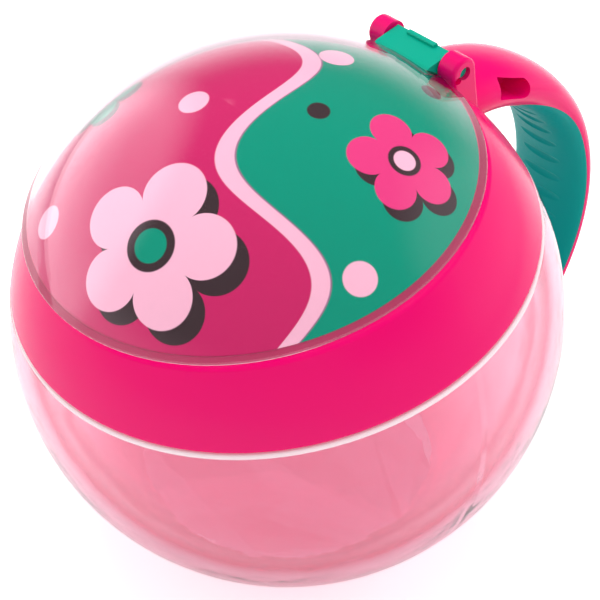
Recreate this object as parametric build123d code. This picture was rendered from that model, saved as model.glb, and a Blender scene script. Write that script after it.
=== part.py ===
from build123d import *
import math
import os

# Toddler snack cup: a ball-shaped bowl with a tilted collar, a hook handle,
# soft entry flaps and a domed flip lid.
# Units are millimetres. The origin is the centre of the flat base, +Z is up,
# +Y points towards the handle and the hinge, and -Y is the front of the cup.

# Ball and bowl
BALL_R = 44.0
BASE_CUT = 9.2
BOWL_WALL = 2.5
BASE_EDGE_R = 1.2
BOWL_LIP_R = 0.4

# Collar plane, given by its tilt towards the front and its height above the ball's centre
COLLAR_TILT = 11.2
COLLAR_H = 16.8
COLLAR_WALL = 2.2
COLLAR_GAP = 0.15
COLLAR_EDGE_R = 0.4
COLLAR_WEB = 2.6

# Neck of the bowl, which stands on a shoulder inside the collar
BOWL_SHOULDER_THICK = 2.2
BOWL_NECK_INSET = 9.6
BOWL_NECK_WALL = 2.2
BOWL_NECK_DROP = 1.8
BOWL_NECK_EDGE_R = 0.6

# Sleeve of the collar round that neck, with a groove for each bayonet lug
SLEEVE_GAP = 0.4
SLEEVE_WALL = 2.4
LUG_COUNT = 3
LUG_WIDTH = 6.0
LUG_HEIGHT = 1.8
LUG_DROP = 2.0
LUG_REACH = 1.4
LUG_FIRST_ANGLE = 150.0
SLOT_GAP = 0.35
TWIST_RANGE = 28.0

# Lid plane, measured in the same way as the collar plane
LID_TILT = 13.1
RIM_H = 29.0
SHOULDER_DROP = 1.0
SHOULDER_EDGE_R = 0.8
PLATE_THICK = 2.4

# Neck of the collar, which the lid closes on, and the ledge below it
NECK_BORE_INSET = 5.1
NECK_WALL = 3.0
NECK_DROP = 0.6
MOUTH_DEPTH = 4.2
LEDGE_WIDTH = 1.4
LEDGE_THICK = 1.2

# Soft flaps in the mouth
FLAP_RING_THICK = 1.2
FLAP_RING_WIDTH = 1.4
FLAP_RING_GAP = 0.1
FLAP_COUNT = 6
FLAP_THICK = 1.0
FLAP_GAP = 0.5
FLAP_ROOT_GAP = 0.05
FLAP_EDGE_R = 0.4

# Domed lid: clear cover over a printed film over the inner shell
COVER_RISE = 2.75
COVER_DROP = 2.55
COVER_SHIFT = 0.4
COVER_WALL = 1.6
COVER_FLAT_INSET = 1.6
FILM_THICK = 0.3
FILM_SETBACK = 1.4
LAYER_GAP = 0.1
SHELL_WALL = 1.5
RIM_EDGE_R = 0.4
FLANGE_THICK = 1.5
SEAT_GAP = 0.3
PLUG_GAP = 0.4
PLUG_WALL = 1.5
PLUG_DROP = 2.5

# Hinge, in the lid plane's own frame, placed from the ball's radius and height at the rim
HINGE_OUTSET = 1.1
HINGE_RISE = 1.9
HINGE_BLOCK_W = 11.5
HINGE_BLOCK_STEP = 2.5
HINGE_FRONT_INSET = 3.45
HINGE_BACK_OUTSET = 2.1
HINGE_BLOCK_NOSE_R = 1.2
BARREL_R = 1.55
EAR_R = 2.35
EAR_FOOT_GAP = 0.4
EAR_THICK = 3.4
EAR_GAP = 0.3
EAR_EDGE_R = 0.6
PIN_R = 1.0
PIN_FIT = 0.05
PIN_INSET = 0.8
KEYHOLE_R = 0.6
KEYHOLE_OUT = 1.5
KEYHOLE_ANGLE = 200.0
BLOCK_RIB_W = 5.8
BLOCK_RIB_H = 0.5
BLOCK_RIB_T = 0.9

# Handle: its centreline is two arcs, placed from the ball's centre
HANDLE_ROOT_W = 17.0
HANDLE_TIP_W = 17.4
HANDLE_ROOT_T = 9.6
HANDLE_TIP_T = 4.7
HANDLE_CENTRE_INSET = 10.9
HANDLE_CENTRE_Z = -1.4
HANDLE_R = 30.7
HANDLE_LOW_R = 37.4
HANDLE_BEND_ANGLE = 27.0
HANDLE_ROOT_ANGLE = 104.0
HANDLE_TIP_ANGLE = -38.0
HANDLE_STATIONS = 10

# Soft grip on the inner face of the handle
GRIP_START_ANGLE = 68.0
GRIP_MID_ANGLE = 30.0
GRIP_START_SHARE = 0.2
GRIP_MID_SHARE = 0.43
GRIP_TIP_SHARE = 0.32
GRIP_START_RUN = 4.0
GRIP_TIP_RUN = 8.0
RIB_COUNT = 13
RIB_R = 1.3
RIB_DEPTH = 0.45
RIB_FIRST_ANGLE = 61.0
RIB_LAST_ANGLE = -28.0

# Pocket in each side of the handle's root
POCKET_L = 7.2
POCKET_H = 3.0
POCKET_DEPTH = 5.6
POCKET_INSET = 3.9
POCKET_Z = 29.5
POCKET_SLOPE = -18.0
POCKET_END_R = 1.3
POCKET_CORNER_R = 0.4

centre_h = BALL_R - BASE_CUT
BALL_PLACE = Pos(0, 0, centre_h)
COLLAR_PLACE = BALL_PLACE * Rot(COLLAR_TILT, 0, 0)
LID_PLACE = BALL_PLACE * Rot(LID_TILT, 0, 0)
DOME_PLACE = Pos(0, -COVER_SHIFT, -COVER_DROP)

# Radii and heights that follow from the sizes above
bowl_inner_r = BALL_R - BOWL_WALL
bowl_rim = COLLAR_H - COLLAR_GAP
bowl_neck_r = BALL_R - BOWL_NECK_INSET
bowl_neck_bore_r = bowl_neck_r - BOWL_NECK_WALL
lug_r = bowl_neck_r + LUG_REACH
sleeve_bore_r = bowl_neck_r + SLEEVE_GAP
sleeve_r = sleeve_bore_r + SLEEVE_WALL
sleeve_top = math.sqrt((BALL_R - COLLAR_WALL) ** 2 - sleeve_bore_r**2)
shoulder_h = RIM_H - SHOULDER_DROP
plate_low = shoulder_h - PLATE_THICK
rim_r = math.sqrt(BALL_R**2 - RIM_H**2)
neck_bore_r = rim_r - NECK_BORE_INSET
neck_r = neck_bore_r + NECK_WALL
ledge_bore_r = neck_bore_r - LEDGE_WIDTH
neck_top = RIM_H - NECK_DROP
ledge_top = neck_top - MOUTH_DEPTH
ledge_low = ledge_top - LEDGE_THICK
bowl_neck_top = ledge_low - BOWL_NECK_DROP
lug_mid = bowl_neck_top - LUG_DROP
flap_ring_r = neck_bore_r - FLAP_RING_GAP
flap_root = (flap_ring_r - FLAP_RING_WIDTH) * math.cos(math.pi / FLAP_COUNT)
flap_ring_top = ledge_top + FLAP_RING_THICK
flap_low = flap_ring_top - FLAP_THICK
cover_r = BALL_R + COVER_RISE
cover_flat_y = rim_r - COVER_FLAT_INSET
film_r = cover_r - COVER_WALL - LAYER_GAP
shell_r = film_r - FILM_THICK - LAYER_GAP
flange_low = neck_top + SEAT_GAP
flange_r = math.sqrt(shell_r**2 - (RIM_H + COVER_DROP) ** 2) - COVER_SHIFT
plug_r = neck_bore_r - PLUG_GAP
plug_bore_r = plug_r - PLUG_WALL
hinge_y = rim_r + HINGE_OUTSET
hinge_z = RIM_H + HINGE_RISE
block_half = HINGE_BLOCK_W / 2
block_front = rim_r - HINGE_FRONT_INSET
block_back = rim_r + HINGE_BACK_OUTSET
block_foot = math.sqrt(shell_r**2 - block_half**2 - (block_front + COVER_SHIFT) ** 2) - COVER_DROP
block_top = block_foot + HINGE_BLOCK_STEP
ear_in = block_half + EAR_GAP
ear_out = ear_in + EAR_THICK
pin_end = ear_out - PIN_INSET
handle_centre_y = BALL_R - HANDLE_CENTRE_INSET
big = 4 * BALL_R


def tube(r_out, r_in, low, high):
    """A plain ring about Z between two heights."""
    ring = Cylinder(r_out, high - low) - Cylinder(r_in, high - low + 2)
    return Pos(0, 0, (low + high) / 2) * ring


def above(height):
    """The half space above a height, as a large block."""
    return Pos(0, 0, height + big / 2) * Box(big, big, big)


def below(height):
    """The half space below a height, as a large block."""
    return Pos(0, 0, height - big / 2) * Box(big, big, big)


def edges_at(shape, height, radius, place):
    """Round edges of a shape that lie at one height and radius of a tilted frame."""
    frame = Plane(place)
    found = []
    for edge in shape.edges():
        local = frame.to_local_coords(edge @ 0.0)
        if abs(local.Z - height) < 0.02 and abs(math.hypot(local.X, local.Y) - radius) < 0.05:
            found.append(edge)
    return found


def make_bowl():
    """Clear bowl: a ball cut flat at the base and at the collar, with a neck on its shoulder."""
    outer = BALL_PLACE * Sphere(BALL_R)
    outer = outer & above(0)
    outer = outer & (COLLAR_PLACE * below(bowl_rim))
    base_r = math.sqrt(BALL_R**2 - centre_h**2)
    outer = fillet(edges_at(outer, 0, base_r, Location()), BASE_EDGE_R)
    inner = BALL_PLACE * Sphere(bowl_inner_r)
    inner = inner & above(BOWL_WALL)
    shoulder_low = bowl_rim - BOWL_SHOULDER_THICK
    inner = inner & (COLLAR_PLACE * below(shoulder_low))
    bowl = outer - inner
    lip_r = math.sqrt(BALL_R**2 - bowl_rim**2)
    bowl = fillet(edges_at(bowl, bowl_rim, lip_r, COLLAR_PLACE), BOWL_LIP_R)
    bore_h = bowl_neck_top - shoulder_low + 2
    bore = Pos(0, 0, shoulder_low - 1 + bore_h / 2) * Cylinder(bowl_neck_bore_r, bore_h)
    bowl = bowl - COLLAR_PLACE * bore
    neck = COLLAR_PLACE * tube(bowl_neck_r, bowl_neck_bore_r, shoulder_low, bowl_neck_top)
    neck = fillet(edges_at(neck, bowl_neck_top, bowl_neck_r, COLLAR_PLACE), BOWL_NECK_EDGE_R)
    bowl = bowl + neck
    for index in range(LUG_COUNT):
        bowl = bowl + make_lug(index)
    return bowl


def make_lug(index):
    """One bayonet lug, which stands out from the bowl's neck into the sleeve's groove."""
    depth = LUG_REACH + BOWL_NECK_WALL / 2
    lug = Pos(lug_r - depth / 2, 0, lug_mid) * Box(depth, LUG_WIDTH, LUG_HEIGHT)
    turn = LUG_FIRST_ANGLE + index * 360 / LUG_COUNT
    return COLLAR_PLACE * Rot(0, 0, turn) * lug


def make_groove(index):
    """L-shaped groove: an entry from the sleeve's lower edge and a run round to the lock."""
    groove_r = math.hypot(lug_r, LUG_WIDTH / 2) + SLOT_GAP
    half_turn = math.degrees((LUG_WIDTH / 2 + SLOT_GAP) / bowl_neck_r)
    run_low = lug_mid - LUG_HEIGHT / 2 - SLOT_GAP
    run_high = lug_mid + LUG_HEIGHT / 2 + SLOT_GAP
    turn = LUG_FIRST_ANGLE + index * 360 / LUG_COUNT
    run = tube(groove_r, sleeve_bore_r - 1, run_low, run_high)
    entry = tube(groove_r, sleeve_bore_r - 1, COLLAR_H - 1, run_high)
    run = run & wedge(turn - TWIST_RANGE - half_turn, turn + half_turn, 2 * sleeve_r)
    entry_end = turn - TWIST_RANGE + half_turn
    entry = entry & wedge(turn - TWIST_RANGE - half_turn, entry_end, 2 * sleeve_r)
    return COLLAR_PLACE * (run + entry)


def wedge(start, end, reach):
    """A tall sector between two angles about Z, for angles less than 180 degrees apart."""
    a, b = math.radians(start), math.radians(end)
    m = (a + b) / 2
    corners = [(0, 0)]
    for angle in (a, m, b):
        corners.append((reach * math.cos(angle), reach * math.sin(angle)))
    outline = make_face(Polyline(*corners, close=True))
    return Pos(0, 0, -big / 2) * extrude(outline, big)


def make_collar():
    """Collar: ball-shaped band, inner sleeve, neck for the lid, and the two hinge ears."""
    ball = Sphere(BALL_R)
    band = BALL_PLACE * (ball - Sphere(BALL_R - COLLAR_WALL))
    band = band & (COLLAR_PLACE * above(COLLAR_H))
    band = band & (LID_PLACE * below(shoulder_h))
    edge_r = math.sqrt(BALL_R**2 - COLLAR_H**2)
    band = fillet(edges_at(band, COLLAR_H, edge_r, COLLAR_PLACE), COLLAR_EDGE_R)
    top_r = math.sqrt(BALL_R**2 - shoulder_h**2)
    band = fillet(edges_at(band, shoulder_h, top_r, LID_PLACE), SHOULDER_EDGE_R)

    within = BALL_PLACE * Sphere(BALL_R - COLLAR_WALL / 2)
    sleeve = tube(sleeve_r, sleeve_bore_r, COLLAR_H, sleeve_top)
    web = tube(edge_r - COLLAR_WALL / 2, sleeve_bore_r, COLLAR_H, COLLAR_H + COLLAR_WEB)
    inside = (COLLAR_PLACE * (sleeve + web)) & within

    plate = tube(BALL_R, neck_bore_r, plate_low, shoulder_h)
    plate = (LID_PLACE * plate) & within
    neck = LID_PLACE * tube(neck_r, neck_bore_r, ledge_low, neck_top)
    ledge = LID_PLACE * tube(neck_r, ledge_bore_r, ledge_low, ledge_top)

    collar = band + inside + plate + neck + ledge + LID_PLACE * ear_pair()
    for index in range(LUG_COUNT):
        collar = collar - make_groove(index)
    return collar


def ear_pair():
    """Two ears with a round nose, on pedestals that run down into the collar."""
    back = hinge_y + EAR_R
    foot = math.sqrt(BALL_R**2 - back**2 - ear_out**2) - COLLAR_WALL
    front = cover_flat_y + EAR_FOOT_GAP
    face = Plane.YZ * Pos(hinge_y, hinge_z) * Circle(EAR_R)
    post_h = hinge_z - foot
    post = Plane.YZ * Pos((back + front) / 2, foot + post_h / 2) * Rectangle(back - front, post_h)
    ear = extrude(face + post, EAR_THICK)
    ear = Pos(ear_in, 0, 0) * ear
    outer_face = ear.faces().sort_by(Axis.X)[-1]
    ear = fillet(outer_face.edges().filter_by(lambda e: (e @ 0.5).Z > foot + 1), EAR_EDGE_R)
    bore = Plane.YZ * Pos(hinge_y, hinge_z) * Circle(PIN_R + PIN_FIT)
    lobe_angle = math.radians(KEYHOLE_ANGLE)
    lobe_y = hinge_y + KEYHOLE_OUT * math.cos(lobe_angle)
    lobe_z = hinge_z + KEYHOLE_OUT * math.sin(lobe_angle)
    lobe = Plane.YZ * Pos(lobe_y, lobe_z) * Circle(KEYHOLE_R)
    ear = ear - extrude(bore, big)
    lobe = Pos(pin_end, 0, 0) * extrude(lobe, big)
    ear = ear - lobe
    inner_ball = Sphere(BALL_R - COLLAR_WALL) & below(plate_low)
    ear = ear - inner_ball
    return ear + mirror(ear, about=Plane.YZ)


def make_flap_ring():
    """Soft ring on the collar's ledge; the flaps grow from the flats of its many-sided bore."""
    ring = Pos(0, 0, ledge_top) * extrude(Circle(flap_ring_r), FLAP_RING_THICK)
    bore = RegularPolygon(flap_root, FLAP_COUNT, major_radius=False)
    ring = ring - Pos(0, 0, ledge_top - 1) * extrude(bore, FLAP_RING_THICK + 2)
    return LID_PLACE * ring


def make_flap(index):
    """One soft flap: a sector that bends at its straight root and ends near the centre."""
    step = 360 / FLAP_COUNT
    root = flap_root - FLAP_ROOT_GAP
    half = math.radians(step / 2)
    tip = FLAP_GAP / 2 / math.sin(half)
    side = (root - tip) * math.tan(half)
    flap = make_face(Polyline((tip, 0), (root, side), (root, -side), close=True))
    flap = extrude(flap, FLAP_THICK)
    corners = flap.edges().filter_by(Axis.Z).sort_by(Axis.X)[1:]
    flap = fillet(corners, FLAP_EDGE_R)
    return LID_PLACE * Rot(0, 0, (index + 0.5) * step) * Pos(0, 0, flap_low) * flap


def dome(r_out, r_in, low):
    """A cap of a thick ball above a height, about the dome's own centre."""
    return DOME_PLACE * (Sphere(r_out) - Sphere(r_in)) & above(low)


def hinge_notch(grow):
    """The space that the hinge block takes out of the cover and the film."""
    half = block_half + grow
    front = block_front - grow
    block = Pos(0, front + big / 2, RIM_H) * Box(2 * half, big, big)
    return block


def make_cover():
    """Clear outer dome, cut flat behind the hinge and notched round the hinge block."""
    cover = dome(cover_r, cover_r - COVER_WALL, RIM_H)
    rim_r = math.sqrt(cover_r**2 - (RIM_H + COVER_DROP) ** 2)
    cover = fillet(edges_at(cover, RIM_H, rim_r, Pos(0, -COVER_SHIFT, 0)), RIM_EDGE_R)
    behind = Pos(0, cover_flat_y + big / 2, 0) * Box(big, big, big)
    return LID_PLACE * (cover - behind - hinge_notch(LAYER_GAP))


def make_film():
    """Printed film between the cover and the inner shell."""
    film = dome(film_r, film_r - FILM_THICK, RIM_H)
    behind = Pos(0, cover_flat_y - FILM_SETBACK + big / 2, 0) * Box(big, big, big)
    return LID_PLACE * (film - behind - hinge_notch(FILM_SETBACK))


def make_lid_shell():
    """Inner lid: dome, seating flange, plug lip, hinge block and its two pivot pins."""
    inner_r = shell_r - SHELL_WALL
    cap = dome(shell_r, inner_r, flange_low)
    flange = tube(flange_r, plug_bore_r, flange_low, flange_low + FLANGE_THICK)
    flange = flange & (DOME_PLACE * Sphere(shell_r))
    plug = tube(plug_r, plug_bore_r, flange_low - PLUG_DROP, flange_low + FLANGE_THICK)
    shell = cap + flange + plug

    top = [(plug_bore_r, block_foot), (block_front, block_foot), (block_front, block_top)]
    top.append((block_back, block_top))
    foot = [(hinge_y, flange_low), (plug_bore_r, flange_low)]
    outline = make_face(Polyline(*top, (hinge_y + BARREL_R, hinge_z), *foot, close=True))
    outline = fillet(outline.vertices().sort_by_distance(top[2])[0], HINGE_BLOCK_NOSE_R)
    barrel = Pos(hinge_y, hinge_z) * Circle(BARREL_R)
    block = extrude(Plane.YZ * (outline + barrel), block_half, both=True)
    block = block - DOME_PLACE * Sphere(inner_r)
    rib_y = block_back - BLOCK_RIB_T / 2
    rib = Pos(0, rib_y, block_top) * Box(BLOCK_RIB_W, BLOCK_RIB_T, 2 * BLOCK_RIB_H)
    rib = fillet(rib.edges().filter_by(Axis.X).sort_by(Axis.Z)[-2:], BLOCK_RIB_H / 2)
    pins = Plane.YZ * Pos(hinge_y, hinge_z) * Circle(PIN_R)
    pins = extrude(pins, pin_end, both=True)
    return LID_PLACE * (shell + block + rib + pins)


def handle_point(angle, offset=0.0):
    """A point of the handle's side view: on its centreline, or offset outwards from it."""
    a = math.radians(angle)
    bend = math.radians(HANDLE_BEND_ANGLE)
    centre_y, centre_z, radius = handle_centre_y, HANDLE_CENTRE_Z, HANDLE_R
    if angle < HANDLE_BEND_ANGLE:
        radius = HANDLE_LOW_R
        centre_y -= (HANDLE_LOW_R - HANDLE_R) * math.cos(bend)
        centre_z -= (HANDLE_LOW_R - HANDLE_R) * math.sin(bend)
    reach = radius + offset
    return centre_y + reach * math.cos(a), centre_z + reach * math.sin(a)


def handle_share(angle):
    """How far an angle lies along the handle, from 0 at the root to 1 at the tip."""
    return (HANDLE_ROOT_ANGLE - angle) / (HANDLE_ROOT_ANGLE - HANDLE_TIP_ANGLE)


def handle_thickness(angle):
    """Thickness of the handle at one angle of its centreline."""
    return HANDLE_ROOT_T + (HANDLE_TIP_T - HANDLE_ROOT_T) * handle_share(angle)


def handle_plane(angle):
    """The plane across the handle at one angle of its centreline."""
    y, z = handle_point(angle)
    a = math.radians(angle)
    return Plane(origin=(0, y, z), x_dir=(1, 0, 0), z_dir=(0, math.sin(a), -math.cos(a)))


def handle_section(angle):
    """The handle's oval cross-section at one angle."""
    width = HANDLE_ROOT_W + (HANDLE_TIP_W - HANDLE_ROOT_W) * handle_share(angle)
    return handle_plane(angle) * Ellipse(width / 2, handle_thickness(angle) / 2)


def handle_body():
    """The whole handle, with a rounded tip, before it is parted into shell and grip."""
    sections = []
    step = (HANDLE_ROOT_ANGLE - HANDLE_TIP_ANGLE) / HANDLE_STATIONS
    for index in range(HANDLE_STATIONS + 1):
        sections.append(handle_section(HANDLE_ROOT_ANGLE - index * step))
    tip = scale(Sphere(1) & above(0), by=(HANDLE_TIP_W / 2, HANDLE_TIP_T / 2, HANDLE_TIP_T))
    return loft(sections) + handle_plane(HANDLE_TIP_ANGLE) * tip


def parting_point(angle, share):
    """A point on the line where grip and shell meet, as a share of the thickness from inside."""
    return handle_point(angle, handle_thickness(angle) * (share - 0.5))


def grip_space():
    """The space inside the parting line, which the soft grip fills."""
    start = parting_point(GRIP_START_ANGLE, GRIP_START_SHARE)
    middle = parting_point(GRIP_MID_ANGLE, GRIP_MID_SHARE)
    end = parting_point(HANDLE_TIP_ANGLE - GRIP_TIP_RUN, GRIP_TIP_SHARE)
    before = handle_point(GRIP_START_ANGLE + GRIP_START_RUN, -HANDLE_ROOT_T)
    tangent = (math.sin(math.radians(GRIP_MID_ANGLE)), -math.cos(math.radians(GRIP_MID_ANGLE)))
    upper = TangentArc(middle, start, tangent=(-tangent[0], -tangent[1]))
    lower = TangentArc(middle, end, tangent=tangent)
    inside = [(handle_centre_y, HANDLE_CENTRE_Z), (handle_centre_y, end[1])]
    back = Polyline(start, before, *inside, end)
    outline = make_face(upper + lower + back)
    return extrude(Plane.YZ * outline, HANDLE_ROOT_W, both=True)


def make_pockets():
    """Moulded pockets in both sides of the root, square at one end and round at the other."""
    outline = Rectangle(POCKET_L, POCKET_H)
    ends = outline.vertices().sort_by(Axis.X)
    outline = fillet(ends[2:], POCKET_END_R)
    outline = fillet(outline.vertices().sort_by(Axis.X)[:2], POCKET_CORNER_R)
    outline = Plane.YZ * Pos(BALL_R - POCKET_INSET, POCKET_Z) * Rot(0, 0, POCKET_SLOPE) * outline
    pocket = Pos(HANDLE_ROOT_W / 2 - POCKET_DEPTH, 0, 0) * extrude(outline, POCKET_DEPTH + 2)
    return pocket + mirror(pocket, about=Plane.YZ)


def make_handle_shell():
    """Rigid outer part of the handle, from the collar's wall to the free tip."""
    shell = handle_body() - grip_space() - Sphere(BALL_R) - make_pockets()
    shell = shell - Rot(LID_TILT, 0, 0) * ear_pair()
    keep = shell.solids().sort_by(SortBy.VOLUME)[-1]
    return BALL_PLACE * keep


def make_handle_grip():
    """Soft ribbed grip on the inner face of the handle."""
    grip = handle_body() & grip_space()
    grip = grip.solids().sort_by(SortBy.VOLUME)[-1]
    step = (RIB_FIRST_ANGLE - RIB_LAST_ANGLE) / (RIB_COUNT - 1)
    for index in range(RIB_COUNT):
        angle = RIB_FIRST_ANGLE - index * step
        y, z = handle_point(angle, RIB_DEPTH - RIB_R - handle_thickness(angle) / 2)
        groove = extrude(Plane.YZ * Pos(y, z) * Circle(RIB_R), HANDLE_ROOT_W, both=True)
        grip = grip - groove
    return BALL_PLACE * grip


def main():
    os.makedirs("parts", exist_ok=True)
    pieces = {
        "bowl": make_bowl(),
        "collar": make_collar(),
        "handle_shell": make_handle_shell(),
        "handle_grip": make_handle_grip(),
        "flap_ring": make_flap_ring(),
        "lid_shell": make_lid_shell(),
        "print_film": make_film(),
        "dome_cover": make_cover(),
    }
    for index in range(FLAP_COUNT):
        pieces[f"flap_{index + 1}"] = make_flap(index)
    for name, piece in pieces.items():
        export_step(piece, f"parts/{name}.step")


main()
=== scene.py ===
import math

import bpy
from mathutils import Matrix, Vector

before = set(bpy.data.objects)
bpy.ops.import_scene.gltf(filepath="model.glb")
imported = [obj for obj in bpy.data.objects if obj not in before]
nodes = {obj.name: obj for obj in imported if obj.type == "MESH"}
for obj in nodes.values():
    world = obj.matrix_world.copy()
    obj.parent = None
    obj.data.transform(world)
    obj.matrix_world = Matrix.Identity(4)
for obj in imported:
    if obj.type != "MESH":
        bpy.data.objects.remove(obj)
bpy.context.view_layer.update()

# Camera: a portrait lens above the cup's front right, looking down at it. Its small
# shift sets the cup in the frame as the photograph does. Places are in metres.
ball_centre = Vector((0, 0, 0.0348))
camera_direction = Vector((0.589, -0.4825, 0.6483))
camera_distance = 0.198

camera_data = bpy.data.cameras.new("product_camera")
camera_data.lens = 73.22
camera_data.sensor_width = 36
camera_data.shift_x = 0.0213
camera_data.shift_y = 0.0158
camera = bpy.data.objects.new("product_camera", camera_data)
bpy.context.scene.collection.objects.link(camera)
camera_offset = camera_direction * camera_distance
camera.location = ball_centre + camera_offset
camera.rotation_mode = "QUATERNION"
camera.rotation_quaternion = (-camera_offset).to_track_quat("-Z", "Y")
bpy.context.scene.camera = camera
bpy.context.scene.view_settings.view_transform = "Standard"

# Studio: a white sweep round the cup. Gloss and clear plastic see it dim overhead, which
# keeps colours that face up deep, and lit at the left and, less, at the right. Each
# panel fades out at its edges, as cloth over a frame does.
plain_sweep = 1.0
even_light = 0.67
overhead_dimming = -0.85
left_panel = 1.1
right_panel = 0.4


def add_node(tree, kind, settings=None, values=None, links=None):
    """Adds one node: its settings, the values of its inputs, and what its inputs link to."""
    node = tree.nodes.new(kind)
    for name, value in (settings or {}).items():
        setattr(node, name, value)
    for name, value in (values or {}).items():
        node.inputs[name].default_value = value
    for name, source in (links or {}).items():
        tree.links.new(source, node.inputs[name])
    return node


def linear(hex_colour):
    """Turns an sRGB hex colour into the linear colour that the shader takes."""
    colour = []
    for start in (1, 3, 5):
        value = int(hex_colour[start : start + 2], 16) / 255
        colour.append(value / 12.92 if value <= 0.04045 else ((value + 0.055) / 1.055) ** 2.4)
    return (*colour, 1.0)


def either_ray(tree, one, other):
    """1 where a ray is of one of two kinds, and otherwise 0."""
    rays = add_node(tree, "ShaderNodeLightPath")
    either = add_node(
        tree,
        "ShaderNodeMath",
        {"operation": "MAXIMUM"},
        links={0: rays.outputs[one], 1: rays.outputs[other]},
    )
    return either.outputs[0]


world = bpy.data.worlds.new("white_studio")
world.use_nodes = True
bpy.context.scene.world = world
tree = world.node_tree
direction = add_node(tree, "ShaderNodeTexCoord")
sweep = add_node(tree, "ShaderNodeMath", {"operation": "ADD"}, {0: plain_sweep, 1: 0.0})
for facing, edge, full, change in (
    ((0.0, 0.0, 1.0), 0.02, 0.5, overhead_dimming),
    ((-0.9, -0.35, 0.25), 0.76, 0.9, left_panel),
    ((0.5, 0.8, 0.35), 0.8, 0.97, right_panel),
):
    towards = add_node(
        tree,
        "ShaderNodeVectorMath",
        {"operation": "DOT_PRODUCT"},
        {1: facing},
        {0: direction.outputs["Generated"]},
    )
    panel = add_node(
        tree,
        "ShaderNodeMapRange",
        {"interpolation_type": "SMOOTHSTEP"},
        {"From Min": edge, "From Max": full, "To Max": change},
        {"Value": towards.outputs["Value"]},
    )
    sweep = add_node(
        tree,
        "ShaderNodeMath",
        {"operation": "ADD"},
        links={0: sweep.outputs[0], 1: panel.outputs[0]},
    )
rays = add_node(tree, "ShaderNodeLightPath")
mirrored = either_ray(tree, "Is Glossy Ray", "Is Transmission Ray")
lit = add_node(
    tree,
    "ShaderNodeMix",
    values={"A": even_light},
    links={"Factor": mirrored, "B": sweep.outputs[0]},
)
strength = add_node(
    tree,
    "ShaderNodeMix",
    values={"B": 1.0},
    links={"Factor": rays.outputs["Is Camera Ray"], "A": lit.outputs[0]},
)
background = tree.nodes["Background"]
background.inputs["Color"].default_value = linear("#FFFFFF")
tree.links.new(strength.outputs[0], background.inputs["Strength"])


def soft_box(name, place, size, power):
    """A square lamp, in metres and watts, that faces the cup. Gloss shows the sweep instead."""
    data = bpy.data.lights.new(name, "AREA")
    data.shape = "SQUARE"
    data.size = size
    data.energy = power
    lamp = bpy.data.objects.new(name, data)
    lamp.visible_glossy = False
    lamp.visible_transmission = False
    lamp.location = place
    lamp.rotation_mode = "QUATERNION"
    lamp.rotation_quaternion = (ball_centre - Vector(place)).to_track_quat("-Z", "Y")
    bpy.context.scene.collection.objects.link(lamp)


soft_box("overhead_box", (-0.2, 0.15, 0.6), 0.6, 2.8)
soft_box("left_box", (-0.5, -0.4, 0.25), 0.45, 1.1)
soft_box("front_box", (0.5, -0.35, 0.45), 0.5, 0.8)
soft_box("right_box", (0.35, 0.5, 0.28), 0.4, 1.0)

# Studio floor: a sheet of matt white paper. It glows for the camera, and less in gloss
# and clear plastic, so it is white far from the lamps and still holds the cup's shadow.
floor_reach = 3.0
floor_glow = 0.4
mirrored_glow = 0.2

floor_corners = [
    (-floor_reach, -floor_reach, 0),
    (floor_reach, -floor_reach, 0),
    (floor_reach, floor_reach, 0),
    (-floor_reach, floor_reach, 0),
]
floor_data = bpy.data.meshes.new("studio_floor")
floor_data.from_pydata(floor_corners, [], [(0, 1, 2, 3)])
floor = bpy.data.objects.new("studio_floor", floor_data)
bpy.context.scene.collection.objects.link(floor)
paper = bpy.data.materials.new("matt_white_paper")
paper.use_nodes = True
tree = paper.node_tree
sheet = tree.nodes["Principled BSDF"]
sheet.inputs["Base Color"].default_value = linear("#F4F4F4")
sheet.inputs["Roughness"].default_value = 0.9
sheet.inputs["Specular IOR Level"].default_value = 0.1
sheet.inputs["Emission Color"].default_value = linear("#FFFFFF")
rays = add_node(tree, "ShaderNodeLightPath")
mirrored = either_ray(tree, "Is Glossy Ray", "Is Transmission Ray")
dimmed = add_node(
    tree, "ShaderNodeMath", {"operation": "MULTIPLY"}, {1: mirrored_glow}, {0: mirrored}
)
glow = add_node(
    tree,
    "ShaderNodeMath",
    {"operation": "MULTIPLY_ADD"},
    {1: floor_glow},
    {0: rays.outputs["Is Camera Ray"], 2: dimmed.outputs[0]},
)
tree.links.new(glow.outputs[0], sheet.inputs["Emission Strength"])
floor_data.materials.append(paper)

# Bowl: one moulding of clear pink copolyester, a ball cut flat at its base. Its 2.5 mm
# walls are polished. Their pink is painted deeper towards the base, painted shade of the
# cup's shadow on the floor seen through it, and deeper again in a band inside the outline
# where the walls are seen edge-on, a painted dark reflection of the studio. The lip and the
# neck inside the collar are left matt, and show as a pale line below it.
collar_tilt = math.radians(11.2)
base_shade_pink = "#F6A8BC"
wall_pink = "#FFF0F4"
painted_limb_shade_pink = "#DC607C"
base_level_m = 0.002
wall_level_m = 0.024
slant_begins = 0.54
slant_deepest = 0.66
slant_ends = 0.76
outline_share = 0.3
tint_density = 84.0
lip_height_mm = 16.2
lip_blend_mm = 0.05
lip_clearness = 0.15


def plastic(name, colour, roughness, ior, gloss):
    """A new material for one moulded plastic, with its tree and shader."""
    material = bpy.data.materials.new(name)
    material.use_nodes = True
    tree = material.node_tree
    shader = tree.nodes["Principled BSDF"]
    shader.inputs["Base Color"].default_value = linear(colour)
    shader.inputs["Roughness"].default_value = roughness
    shader.inputs["IOR"].default_value = ior
    shader.inputs["Specular IOR Level"].default_value = gloss
    return material, tree, shader


def paint(node_name, material):
    """Gives a CAD part its finish."""
    part = nodes[node_name]
    part.data.materials.clear()
    part.data.materials.append(material)


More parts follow.
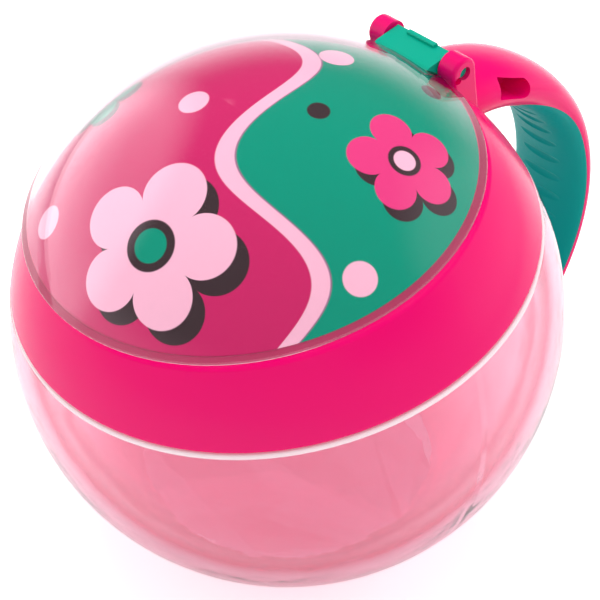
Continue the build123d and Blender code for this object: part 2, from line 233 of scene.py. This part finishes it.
def mould_marks(tree, shader, grain_mm, height_mm, polish=0.0):
    """Faint unevenness of a moulded face: a bump of one grain size, and a varying polish."""
    noise_low, noise_high = 0.3, 0.7
    place = add_node(tree, "ShaderNodeTexCoord")
    grain = add_node(
        tree,
        "ShaderNodeTexNoise",
        values={"Scale": 1000 / grain_mm, "Detail": 3.0},
        links={"Vector": place.outputs["Object"]},
    )
    bump = add_node(
        tree,
        "ShaderNodeBump",
        values={"Strength": 1.0, "Distance": height_mm / 1000},
        links={"Height": grain.outputs["Fac"]},
    )
    tree.links.new(bump.outputs["Normal"], shader.inputs["Normal"])
    if polish:
        evenness = shader.inputs["Roughness"].default_value
        rubbed = add_node(
            tree,
            "ShaderNodeMapRange",
            values={
                "From Min": noise_low,
                "From Max": noise_high,
                "To Min": evenness - polish,
                "To Max": evenness + polish,
            },
            links={"Value": grain.outputs["Fac"]},
        )
        tree.links.new(rubbed.outputs[0], shader.inputs["Roughness"])


def let_lamps_through(tree, shader):
    """Clear plastic that lamps shine through, so that what lies behind it is lit."""
    from_lamp = either_ray(tree, "Is Shadow Ray", "Is Diffuse Ray")
    window = add_node(tree, "ShaderNodeBsdfTransparent")
    body = add_node(
        tree,
        "ShaderNodeMixShader",
        links={0: from_lamp, 1: shader.outputs[0], 2: window.outputs[0]},
    )
    tree.links.new(body.outputs[0], tree.nodes["Material Output"].inputs["Surface"])


def tilted_place(tree, centre, tilt):
    """Where a point lies, in millimetres, in a frame that is tilted about a centre."""
    place = add_node(tree, "ShaderNodeTexCoord")
    level = add_node(
        tree,
        "ShaderNodeMapping",
        {"vector_type": "TEXTURE"},
        {"Location": centre, "Rotation": (tilt, 0, 0), "Scale": (0.001, 0.001, 0.001)},
        {"Vector": place.outputs["Object"]},
    )
    return level.outputs["Vector"]


def leave_matt(tree, shader, where, clearness):
    """Clear plastic that is polished where a factor is 0, and pale and matt where it is 1."""
    matt_roughness = 0.5
    polished_roughness = shader.inputs["Roughness"].default_value
    for name, polished, matt in (
        ("Roughness", polished_roughness, matt_roughness),
        ("Transmission Weight", 1.0, clearness),
    ):
        finish = add_node(
            tree,
            "ShaderNodeMapRange",
            values={"To Min": polished, "To Max": matt},
            links={"Value": where},
        )
        tree.links.new(finish.outputs[0], shader.inputs[name])


clear_pink, tree, shader = plastic(
    "clear_pink_copolyester", wall_pink, roughness=0.03, ior=1.54, gloss=0.5
)
mould_marks(tree, shader, grain_mm=14.0, height_mm=0.12)
# Painted shade: the pink deepens towards the base, standing in for the cup's shadow on the floor
# seen through it.
place = add_node(tree, "ShaderNodeTexCoord")
parts = add_node(tree, "ShaderNodeSeparateXYZ", links={0: place.outputs["Object"]})
rise = add_node(
    tree,
    "ShaderNodeMapRange",
    {"interpolation_type": "SMOOTHSTEP"},
    {"From Min": base_level_m, "From Max": wall_level_m},
    {"Value": parts.outputs["Z"]},
)
pink = add_node(
    tree,
    "ShaderNodeMix",
    {"data_type": "RGBA"},
    {"A": linear(base_shade_pink), "B": linear(wall_pink)},
    {"Factor": rise.outputs[0]},
)
# Painted reflection: a deeper pink in a band just inside the outline, where the wall is seen
# edge-on, standing in for dark studio seen in the wall there.
slant = add_node(tree, "ShaderNodeLayerWeight", values={"Blend": 0.5})
limb_shade_onset = add_node(
    tree,
    "ShaderNodeMapRange",
    {"interpolation_type": "SMOOTHSTEP"},
    {"From Min": slant_begins, "From Max": slant_deepest},
    {"Value": slant.outputs["Facing"]},
)
past_deepest = add_node(
    tree,
    "ShaderNodeMapRange",
    {"interpolation_type": "SMOOTHSTEP"},
    {"From Min": slant_ends, "From Max": slant_deepest, "To Min": outline_share},
    {"Value": slant.outputs["Facing"]},
)
limb_shade_amount = add_node(
    tree,
    "ShaderNodeMath",
    {"operation": "MULTIPLY"},
    links={0: limb_shade_onset.outputs[0], 1: past_deepest.outputs[0]},
)
limb_shaded_pink = add_node(
    tree,
    "ShaderNodeMix",
    {"data_type": "RGBA"},
    {"B": linear(painted_limb_shade_pink)},
    {"Factor": limb_shade_amount.outputs[0], "A": pink.outputs["Result"]},
)
tree.links.new(limb_shaded_pink.outputs["Result"], shader.inputs["Base Color"])
level = add_node(
    tree, "ShaderNodeSeparateXYZ", links={0: tilted_place(tree, ball_centre, collar_tilt)}
)
lip = add_node(
    tree,
    "ShaderNodeMapRange",
    values={"From Min": lip_height_mm - lip_blend_mm, "From Max": lip_height_mm + lip_blend_mm},
    links={"Value": level.outputs["Z"]},
)
leave_matt(tree, shader, lip.outputs[0], lip_clearness)
let_lamps_through(tree, shader)
tint = add_node(
    tree,
    "ShaderNodeVolumeAbsorption",
    values={"Color": linear("#EB30AA"), "Density": tint_density},
)
tree.links.new(tint.outputs[0], tree.nodes["Material Output"].inputs["Volume"])
paint("bowl", clear_pink)

# Collar: one moulding of magenta polypropylene with the lid's neck and both hinge ears.
# It turns on the bowl's three lugs. A little light goes into the plastic before it comes
# back, so its edges look soft, and its mould gloss is a broad sheen.


def let_light_in(shader, share, depth_mm):
    """Plastic that some light goes into, and comes back out of near by."""
    shader.inputs["Subsurface Weight"].default_value = share
    shader.inputs["Subsurface Scale"].default_value = depth_mm / 1000


magenta, tree, shader = plastic(
    "magenta_polypropylene", "#E8006A", roughness=0.19, ior=1.49, gloss=0.2
)
let_light_in(shader, share=0.08, depth_mm=1.0)
mould_marks(tree, shader, grain_mm=9.0, height_mm=0.012, polish=0.04)
paint("collar", magenta)

# Handle shell: the hard outer part of the hook handle, moulded with the collar of the
# same magenta polypropylene, and with the same finish. A pocket is cored out of each
# side of its root.
paint("handle_shell", magenta)

# Handle grip: soft teal elastomer moulded over the handle's inner face, with thirteen
# ribs. Its matt skin has a fine grain, which spreads the light.
grip_teal, tree, shader = plastic(
    "teal_elastomer", "#00988F", roughness=0.45, ior=1.5, gloss=0.08
)
mould_marks(tree, shader, grain_mm=0.6, height_mm=0.006, polish=0.06)
paint("handle_grip", grip_teal)

# Flap ring and flaps: one soft moulding of pale pink elastomer, laid on the ledge in the
# mouth. It is matt, and thin enough to let some light through.
flap_count = 6
flap_pink, tree, shader = plastic(
    "pink_flap_elastomer", "#F6A8C0", roughness=0.38, ior=1.43, gloss=0.5
)
let_light_in(shader, share=0.35, depth_mm=2.0)
mould_marks(tree, shader, grain_mm=0.8, height_mm=0.006, polish=0.05)
paint("flap_ring", flap_pink)
for index in range(flap_count):
    paint(f"flap_{index + 1}", flap_pink)

# Lid shell: the inner lid of teal polypropylene, one moulding with the plug lip that
# seats in the collar's neck, the hinge block and its two pins. It is smooth, with the
# soft gloss of its mould.
lid_tilt = math.radians(13.1)
lid_teal, tree, shader = plastic(
    "teal_polypropylene", "#00A389", roughness=0.22, ior=1.49, gloss=0.2
)
mould_marks(tree, shader, grain_mm=6.0, height_mm=0.01, polish=0.04)
paint("lid_shell", lid_teal)

# Printed film: a bold print of flowers, dots and one wave, screen printed flat on a thin
# sheet, then formed to the dome. Its inks are matt, with a fine mottle, and the clear
# cover gives them their gloss. Sizes and places are millimetres on the flat sheet.
magenta_ink = "#CB2A6C"
teal_ink = "#00A37F"
pale_ink = "#FBCFDF"
rose_ink = "#E64489"
charcoal_ink = "#3C3234"
trapped_ink = "#9A7C94"
ink_blend = 0.1
mottle_size = 0.7
mottle_strength = 0.03
wave_place = 4.0
wave_height = 6.0
wave_length = 38.0
ribbon_width = 2.4
trap_width = 0.25
petal_count = 5
petal_depth = 0.45
petal_roundness = 0.6
shadow_right = 0.12
shadow_down = 0.2
ring_share = 0.3
heart_share = 0.2
film_radius = 45.0
dome_centre = (0.0, 0.000188, 0.032226)
layout_turn = math.radians(-50.7)

print_film, tree, shader = plastic(
    "screen_printed_film", magenta_ink, roughness=0.5, ior=1.5, gloss=0.0
)
film_place = tilted_place(tree, dome_centre, lid_tilt)
outwards = add_node(
    tree, "ShaderNodeVectorMath", {"operation": "NORMALIZE"}, links={0: film_place}
)
parts = add_node(tree, "ShaderNodeSeparateXYZ", links={0: outwards.outputs["Vector"]})
height = add_node(
    tree, "ShaderNodeMath", {"operation": "ADD"}, {1: 1.0}, {0: parts.outputs["Z"]}
)
spread = add_node(
    tree, "ShaderNodeMath", {"operation": "DIVIDE"}, {0: 2 * film_radius}, {1: height.outputs[0]}
)
flat = add_node(
    tree,
    "ShaderNodeVectorMath",
    {"operation": "SCALE"},
    links={0: outwards.outputs["Vector"], "Scale": spread.outputs[0]},
)
turned = add_node(
    tree,
    "ShaderNodeMapping",
    {"vector_type": "POINT"},
    {"Rotation": (0, 0, layout_turn)},
    {"Vector": flat.outputs["Vector"]},
)
across = add_node(
    tree,
    "ShaderNodeVectorMath",
    {"operation": "MULTIPLY"},
    {1: (1.0, 1.0, 0.0)},
    {0: turned.outputs["Vector"]},
)
sheet_place = across.outputs["Vector"]


def ink(below, distance, colour, edge=0.0):
    """Prints one colour over the last wherever the distance is less than the edge."""
    cover = add_node(
        tree,
        "ShaderNodeMapRange",
        values={
            "From Min": edge - ink_blend,
            "From Max": edge + ink_blend,
            "To Min": 1.0,
            "To Max": 0.0,
        },
        links={"Value": distance},
    )
    mix = add_node(
        tree,
        "ShaderNodeMix",
        {"data_type": "RGBA"},
        {"B": linear(colour)},
        {"Factor": cover.outputs[0]},
    )
    if isinstance(below, str):
        mix.inputs["A"].default_value = linear(below)
    else:
        tree.links.new(below, mix.inputs["A"])
    return mix.outputs["Result"]


def dot(centre, radius):
    """Distance outside a round dot."""
    reach = add_node(
        tree,
        "ShaderNodeVectorMath",
        {"operation": "DISTANCE"},
        {1: (*centre, 0.0)},
        {0: sheet_place},
    )
    edge = add_node(
        tree, "ShaderNodeMath", {"operation": "SUBTRACT"}, {1: radius}, {0: reach.outputs["Value"]}
    )
    return edge.outputs[0]


def flower(centre, radius, turn):
    """Distance outside a flower of round petals."""
    offset = add_node(
        tree,
        "ShaderNodeVectorMath",
        {"operation": "SUBTRACT"},
        {1: (*centre, 0.0)},
        {0: sheet_place},
    )
    reach = add_node(
        tree, "ShaderNodeVectorMath", {"operation": "LENGTH"}, links={0: offset.outputs["Vector"]}
    )
    sides = add_node(tree, "ShaderNodeSeparateXYZ", links={0: offset.outputs["Vector"]})
    angle = add_node(
        tree,
        "ShaderNodeMath",
        {"operation": "ARCTAN2"},
        links={0: sides.outputs["Y"], 1: sides.outputs["X"]},
    )
    half_petals = add_node(
        tree,
        "ShaderNodeMath",
        {"operation": "MULTIPLY_ADD"},
        {1: petal_count / 2, 2: turn},
        {0: angle.outputs[0]},
    )
    swing = add_node(
        tree, "ShaderNodeMath", {"operation": "COSINE"}, links={0: half_petals.outputs[0]}
    )
    lobe = add_node(tree, "ShaderNodeMath", {"operation": "ABSOLUTE"}, links={0: swing.outputs[0]})
    round_lobe = add_node(
        tree, "ShaderNodeMath", {"operation": "POWER"}, {1: petal_roundness}, {0: lobe.outputs[0]}
    )
    petal = add_node(
        tree,
        "ShaderNodeMath",
        {"operation": "MULTIPLY_ADD"},
        {1: -petal_depth * radius, 2: (petal_depth - 1) * radius},
        {0: round_lobe.outputs[0]},
    )
    edge = add_node(
        tree,
        "ShaderNodeMath",
        {"operation": "ADD"},
        links={0: reach.outputs["Value"], 1: petal.outputs[0]},
    )
    return edge.outputs[0]


# The wave parts the magenta ground from the teal. A pale ribbon is printed along it, and
# a thin grey-mauve line shows where that ink overlaps the teal.
axes = add_node(tree, "ShaderNodeSeparateXYZ", links={0: sheet_place})
phase = add_node(
    tree,
    "ShaderNodeMath",
    {"operation": "MULTIPLY"},
    {1: 2 * math.pi / wave_length},
    {0: axes.outputs["Y"]},
)
swell = add_node(tree, "ShaderNodeMath", {"operation": "SINE"}, links={0: phase.outputs[0]})
crest = add_node(
    tree,
    "ShaderNodeMath",
    {"operation": "MULTIPLY_ADD"},
    {1: wave_height, 2: wave_place},
    {0: swell.outputs[0]},
)
shore = add_node(
    tree,
    "ShaderNodeMath",
    {"operation": "SUBTRACT"},
    links={0: axes.outputs["X"], 1: crest.outputs[0]},
)
colour = ink(teal_ink, shore.outputs[0], trapped_ink, ribbon_width + 2 * trap_width)
colour = ink(colour, shore.outputs[0], pale_ink, ribbon_width + trap_width)
colour = ink(colour, shore.outputs[0], magenta_ink)

for centre, radius, turn, petals, heart in (
    ((-12.0, -20.0), 12.5, 0.6, pale_ink, teal_ink),
    ((24.0, -9.0), 8.5, 1.5, rose_ink, pale_ink),
    ((-22.0, 14.0), 7.0, 0.2, teal_ink, pale_ink),
):
    shadow_centre = (centre[0] + shadow_right * radius, centre[1] - shadow_down * radius)
    colour = ink(colour, flower(shadow_centre, radius, turn), charcoal_ink)
    colour = ink(colour, flower(centre, radius, turn), petals)
    colour = ink(colour, dot(centre, ring_share * radius), charcoal_ink)
    colour = ink(colour, dot(centre, heart_share * radius), heart)

for centre, radius, tone in (
    ((-31.0, -8.0), 2.8, pale_ink),
    ((-5.0, 2.0), 2.2, pale_ink),
    ((-31.0, -26.0), 1.8, charcoal_ink),
    ((15.0, 12.0), 2.6, pale_ink),
    ((30.0, 9.0), 1.8, charcoal_ink),
    ((17.0, -28.0), 2.6, pale_ink),
    ((12.0, -2.0), 1.6, charcoal_ink),
):
    colour = ink(colour, dot(centre, radius), tone)

mottle = add_node(
    tree,
    "ShaderNodeTexNoise",
    values={"Scale": 1 / mottle_size, "Detail": 2.0},
    links={"Vector": film_place},
)
ink_level = add_node(
    tree,
    "ShaderNodeMapRange",
    values={"To Min": 1 - mottle_strength, "To Max": 1 + mottle_strength},
    links={"Value": mottle.outputs["Fac"]},
)
inked = add_node(
    tree,
    "ShaderNodeVectorMath",
    {"operation": "SCALE"},
    links={0: colour, "Scale": ink_level.outputs[0]},
)
tree.links.new(inked.outputs["Vector"], shader.inputs["Base Color"])
paint("print_film", print_film)

# Dome cover: one moulding of clear copolyester over the print, polished to a sharp gloss.
# Its foot is painted a dark magenta, painted shade that stands in for the shadow under the
# rim, and its outer lower corner is left matt, which shows as a thin pale line. Heights and
# radii are millimetres in the lid's own frame.
clear_tone = "#FFE4F0"
painted_rim_shade_magenta = "#A80C50"
foot_height = 29.02
foot_blend = 0.02
corner_height = 29.3
corner_radius = 34.08
corner_blend = 0.06
foot_clearness = 0.1

clear, tree, shader = plastic("clear_copolyester", clear_tone, roughness=0.03, ior=1.54, gloss=0.3)
lid_place = tilted_place(tree, ball_centre, lid_tilt)
parts = add_node(tree, "ShaderNodeSeparateXYZ", links={0: lid_place})
# Painted shade: below this height the foot takes a dark magenta, which stands in for the shadow
# under the dome's rim.
rim_shade_mask = add_node(
    tree,
    "ShaderNodeMapRange",
    values={"From Min": foot_height + foot_blend, "From Max": foot_height},
    links={"Value": parts.outputs["Z"]},
)
foot = add_node(
    tree,
    "ShaderNodeMix",
    {"data_type": "RGBA"},
    {"A": linear(clear_tone), "B": linear(painted_rim_shade_magenta)},
    {"Factor": rim_shade_mask.outputs[0]},
)
tree.links.new(foot.outputs["Result"], shader.inputs["Base Color"])
on_plane = add_node(
    tree, "ShaderNodeVectorMath", {"operation": "MULTIPLY"}, {1: (1.0, 1.0, 0.0)}, {0: lid_place}
)
reach = add_node(
    tree, "ShaderNodeVectorMath", {"operation": "LENGTH"}, links={0: on_plane.outputs["Vector"]}
)
outside = add_node(
    tree,
    "ShaderNodeMapRange",
    values={"From Min": corner_radius, "From Max": corner_radius + corner_blend},
    links={"Value": reach.outputs["Value"]},
)
low_down = add_node(
    tree,
    "ShaderNodeMapRange",
    values={"From Min": corner_height + corner_blend, "From Max": corner_height},
    links={"Value": parts.outputs["Z"]},
)
corner = add_node(
    tree,
    "ShaderNodeMath",
    {"operation": "MULTIPLY"},
    links={0: outside.outputs[0], 1: low_down.outputs[0]},
)
dull = add_node(
    tree,
    "ShaderNodeMath",
    {"operation": "MAXIMUM"},
    links={0: corner.outputs[0], 1: rim_shade_mask.outputs[0]},
)
leave_matt(tree, shader, dull.outputs[0], foot_clearness)
let_lamps_through(tree, shader)
paint("dome_cover", clear)
